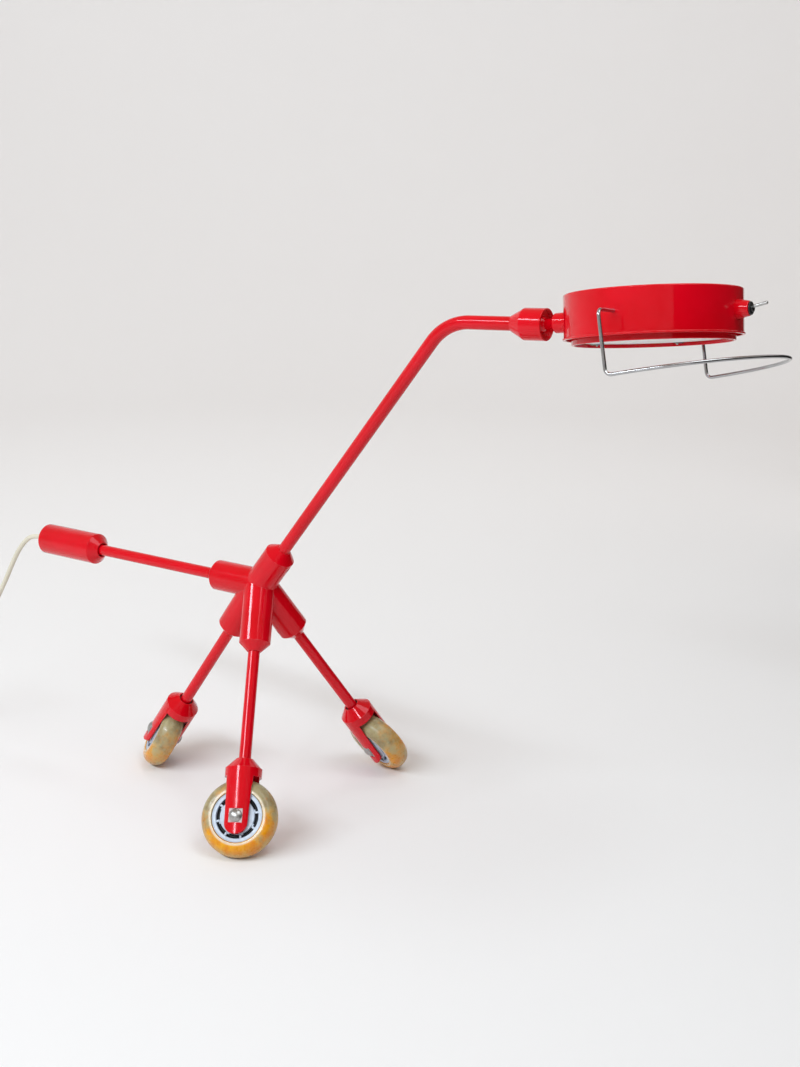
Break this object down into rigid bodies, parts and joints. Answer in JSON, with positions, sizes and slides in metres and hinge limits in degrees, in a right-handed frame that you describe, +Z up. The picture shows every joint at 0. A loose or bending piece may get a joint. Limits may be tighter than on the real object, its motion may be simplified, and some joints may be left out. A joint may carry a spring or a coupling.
{
  "type": "rolling desk lamp",
  "caption": "Work lamp on castered skate wheels: hub with splayed legs, counterweighted tail, bent arm, ball-jointed round head with recessed diffuser, toggle switch and wire bail.",
  "frame": {"origin": "on the floor, under the middle of the box of the lamp without its cord and plug", "axes": "+X from the tail to the head, +Y to the lamp's left, +Z up"},
  "size_m": [0.9689, 0.3719, 0.5626],
  "materials": {
    "red_paint": "gloss",
    "steel": "satin",
    "chrome_wire": "polished",
    "amber_tyre": "satin",
    "white_core": "gloss",
    "white_washer": "matt",
    "black_nylon": "matt",
    "black_switch": "gloss",
    "opal_glass": "frosted",
    "clear_glass": "polished",
    "spring_clips": "satin",
    "bright_aluminium": "polished",
    "ceramic": "glazed",
    "cream_cable": "satin",
    "cream_plug": "satin",
    "brass": "satin"
  },
  "bodies": {
    "stand": {"hub": "red_paint", "set_screws": "steel", "swivel_screws": "steel", "tail_rod": "red_paint", "counterweight": "red_paint", "cord_gland": "cream_cable", "leg_rod_right": "red_paint", "leg_rod_left": "red_paint", "leg_rod_rear": "red_paint", "mains_cord": "cream_cable", "cord_coil": "cream_cable", "plug_body": "cream_plug", "plug_pins": "brass"},
    "neck": {"neck_tube": "red_paint", "ball_cup": "red_paint", "ball_collar": "red_paint"},
    "outer_seat": {"ball_seat_outer": "black_nylon"},
    "inner_seat": {"ball_seat_inner": "white_washer"},
    "head": {"ball_stem": "red_paint", "stem_nut": "steel", "drum_shell": "red_paint", "inner_ring": "red_paint", "diffuser": "opal_glass", "diffuser_clips": "spring_clips", "reflector": "bright_aluminium", "lampholder": "ceramic", "lamp_capsule": "clear_glass", "switch_boss": "red_paint", "switch_body": "black_switch", "switch_collar": "black_switch"},
    "bail": {"bail_wire": "chrome_wire"},
    "toggle": {"toggle_lever": "steel"},
    "fork_right": {"fork_right": "red_paint", "swivel_bush_right": "black_nylon", "axle_barrel_right": "steel", "axle_screw_right": "steel", "axle_seats_right": "white_washer"},
    "wheel_right": {"tyre_right": "amber_tyre", "wheel_core_right": "white_core", "bearings_right": "steel", "bearing_spacer_right": "steel"},
    "fork_left": {"fork_left": "red_paint", "swivel_bush_left": "black_nylon", "axle_barrel_left": "steel", "axle_screw_left": "steel", "axle_seats_left": "white_washer"},
    "wheel_left": {"tyre_left": "amber_tyre", "wheel_core_left": "white_core", "bearings_left": "steel", "bearing_spacer_left": "steel"},
    "fork_rear": {"fork_rear": "red_paint", "swivel_bush_rear": "black_nylon", "axle_barrel_rear": "steel", "axle_screw_rear": "steel", "axle_seats_rear": "white_washer"},
    "wheel_rear": {"tyre_rear": "amber_tyre", "wheel_core_rear": "white_core", "bearings_rear": "steel", "bearing_spacer_rear": "steel"}
  },
  "joints": [
    {"name": "fork_swivel_right", "type": "hinge", "parent": "stand", "child": "fork_right", "pos_m": [-0.05229, -0.09689, 0.07136], "axis": [0.2808, -0.4963, -0.8215], "continuous": true},
    {"name": "wheel_spin_right", "type": "hinge", "parent": "fork_right", "child": "wheel_right", "pos_m": [-0.03943, -0.11962, 0.03373], "axis": [0.3225, -0.7573, 0.5678], "continuous": true},
    {"name": "fork_swivel_left", "type": "hinge", "parent": "stand", "child": "fork_left", "pos_m": [-0.05229, 0.09704, 0.07145], "axis": [0.2808, 0.4971, -0.821], "continuous": true},
    {"name": "wheel_spin_left", "type": "hinge", "parent": "fork_left", "child": "wheel_left", "pos_m": [-0.03943, 0.1198, 0.03385], "axis": [-0.2361, -0.7934, -0.5611], "continuous": true},
    {"name": "fork_swivel_rear", "type": "hinge", "parent": "stand", "child": "fork_rear", "pos_m": [-0.22023, 0.00007, 0.07263], "axis": [-0.5796, 0.0004, -0.8149], "continuous": true},
    {"name": "wheel_spin_rear", "type": "hinge", "parent": "fork_rear", "child": "wheel_rear", "pos_m": [-0.24677, 0.00009, 0.03531], "axis": [-0.6483, -0.6062, 0.4607], "continuous": true},
    {"name": "neck_turn", "type": "hinge", "parent": "stand", "child": "neck", "pos_m": [-0.07484, -0.00002, 0.27312], "axis": [0.6146, -0.0004, 0.7889], "range_deg": [-90, 90]},
    {"name": "head_yaw", "type": "hinge", "parent": "neck", "child": "outer_seat", "pos_m": [0.20685, -0.00014, 0.51754], "axis": [0.0073, -0.0005, 1], "range_deg": [-17.25, 18.75]},
    {"name": "head_pitch", "type": "hinge", "parent": "outer_seat", "child": "inner_seat", "pos_m": [0.20685, -0.00014, 0.51754], "axis": [0.0131, 0.9999, 0.0004], "range_deg": [-13, 23]},
    {"name": "head_roll", "type": "hinge", "parent": "inner_seat", "child": "head", "pos_m": [0.20685, -0.00014, 0.51754], "axis": [0.9921, -0.013, 0.1245], "range_deg": [-83, 97]},
    {"name": "bail_swing", "type": "hinge", "parent": "head", "child": "bail", "pos_m": [0.31268, -0.0014, 0.53186], "axis": [0.0277, 0.9928, -0.1164], "range_deg": [-180, 140]},
    {"name": "toggle_throw", "type": "hinge", "parent": "head", "child": "toggle", "pos_m": [0.39205, -0.00245, 0.54182], "axis": [0.0277, 0.9928, -0.1164], "range_deg": [0, 24]}
  ]
}
